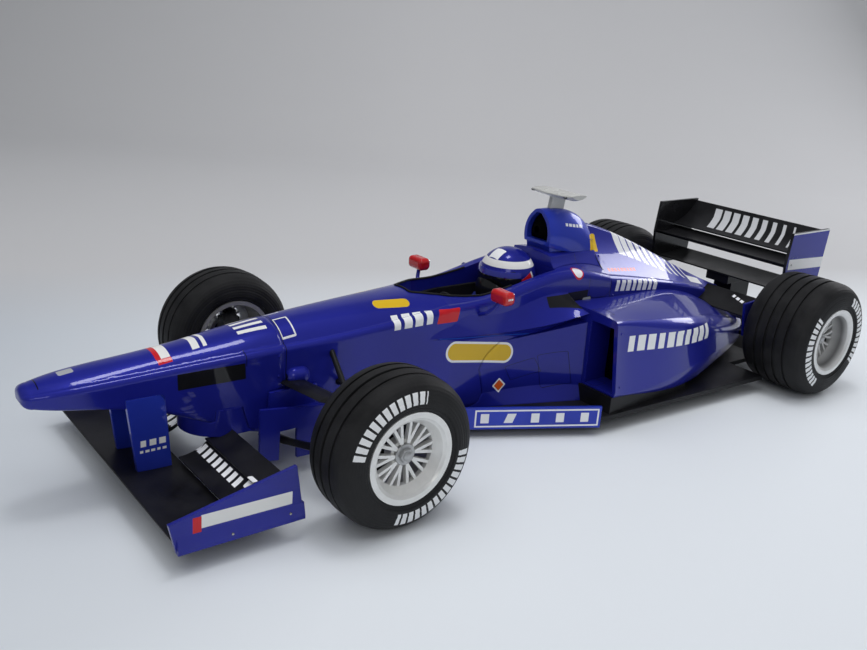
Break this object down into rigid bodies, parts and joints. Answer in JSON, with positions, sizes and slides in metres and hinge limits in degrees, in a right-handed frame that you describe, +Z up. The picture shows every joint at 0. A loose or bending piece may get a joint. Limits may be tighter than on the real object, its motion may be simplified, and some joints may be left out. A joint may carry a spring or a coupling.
{
  "type": "open wheel racing car scale model",
  "caption": "Scale model of a single-seat open wheel racing car with wings, seated driver figure, free-rolling wheels and linked steering front wheels.",
  "frame": {"origin": "on the ground under the middle of the model's box", "axes": "+X towards the nose, +Y to the model's left, +Z up"},
  "size_m": [0.254, 0.1042, 0.0609],
  "materials": {
    "body_blue": "gloss metallic deep blue",
    "black_plastic": "semi-gloss black",
    "tyre_rubber": "matte",
    "rim_silver": "satin silver paint",
    "mirror_red": "gloss red",
    "camera_grey": "pale grey satin",
    "overall_blue": "matte dark blue",
    "helmet_paint": "gloss",
    "visor_black": "dark gloss"
  },
  "bodies": {
    "chassis": {"airbox": "body_blue", "barge_strips": "body_blue", "camera_pod": "camera_grey", "cockpit_liner": "black_plastic", "diffuser": "black_plastic", "driver_torso": "overall_blue", "driveshafts": "black_plastic", "engine_cover": "body_blue", "floor": "black_plastic", "front_endplate_left": "body_blue", "front_endplate_right": "body_blue", "front_lower_arms": "black_plastic", "front_pushrods": "black_plastic", "front_upper_arms": "black_plastic", "front_wing_flaps": "black_plastic", "front_wing_plane": "black_plastic", "gearbox": "black_plastic", "headrest": "body_blue", "helmet": "helmet_paint", "mirror_housings": "mirror_red", "mirror_stalks": "body_blue", "nose_cone": "body_blue", "nose_keel": "body_blue", "plank": "black_plastic", "radiators": "black_plastic", "rear_endplate_left": "body_blue", "rear_endplate_right": "body_blue", "rear_lower_arms": "black_plastic", "rear_upper_arms": "black_plastic", "rear_uprights": "black_plastic", "rear_wing_beam": "black_plastic", "rear_wing_flap": "black_plastic", "rear_wing_main": "black_plastic", "rear_winglet_plates": "body_blue", "rear_winglets": "black_plastic", "side_panels": "body_blue", "sidepod_left": "body_blue", "sidepod_right": "body_blue", "steering_wheel": "black_plastic", "tub": "body_blue", "turning_vanes": "body_blue", "visor": "visor_black", "wing_pylons": "body_blue"},
    "knuckle_front_left": {"knuckle_left": "black_plastic"},
    "knuckle_front_right": {"knuckle_right": "black_plastic"},
    "steering_rod": {"track_rod": "black_plastic"},
    "wheel_front_left": {"tyre_front_left": "tyre_rubber", "rim_front_left": "rim_silver"},
    "wheel_front_right": {"tyre_front_right": "tyre_rubber", "rim_front_right": "rim_silver"},
    "wheel_rear_left": {"tyre_rear_left": "tyre_rubber", "rim_rear_left": "rim_silver"},
    "wheel_rear_right": {"tyre_rear_right": "tyre_rubber", "rim_rear_right": "rim_silver"}
  },
  "joints": [
    {"name": "steer_left", "type": "hinge", "parent": "chassis", "child": "knuckle_front_left", "pos_m": [0.062, 0.0384, 0.0178], "axis": [0, 0, 1], "range_deg": [-15, 15]},
    {"name": "steer_right", "type": "hinge", "parent": "chassis", "child": "knuckle_front_right", "pos_m": [0.062, -0.0384, 0.0178], "axis": [0, 0, 1], "range_deg": [-15, 15]},
    {"name": "track_rod_slide", "type": "slide", "parent": "chassis", "child": "steering_rod", "axis": [0, 1, 0], "range_m": [-0.00159, 0.00159]},
    {"name": "spin_front_left", "type": "hinge", "parent": "knuckle_front_left", "child": "wheel_front_left", "pos_m": [0.062, 0.04185, 0.0178], "axis": [0, 1, 0], "continuous": true},
    {"name": "spin_front_right", "type": "hinge", "parent": "knuckle_front_right", "child": "wheel_front_right", "pos_m": [0.062, -0.04185, 0.0178], "axis": [0, 1, 0], "continuous": true},
    {"name": "spin_rear_left", "type": "hinge", "parent": "chassis", "child": "wheel_rear_left", "pos_m": [-0.099, 0.04075, 0.0184], "axis": [0, 1, 0], "continuous": true},
    {"name": "spin_rear_right", "type": "hinge", "parent": "chassis", "child": "wheel_rear_right", "pos_m": [-0.099, -0.04075, 0.0184], "axis": [0, 1, 0], "continuous": true}
  ],
  "couplings": [
    {"joint": "steer_right", "follows": "steer_left", "ratio": 1},
    {"joint": "track_rod_slide", "follows": "steer_left", "m_per_rad": -0.006}
  ]
}
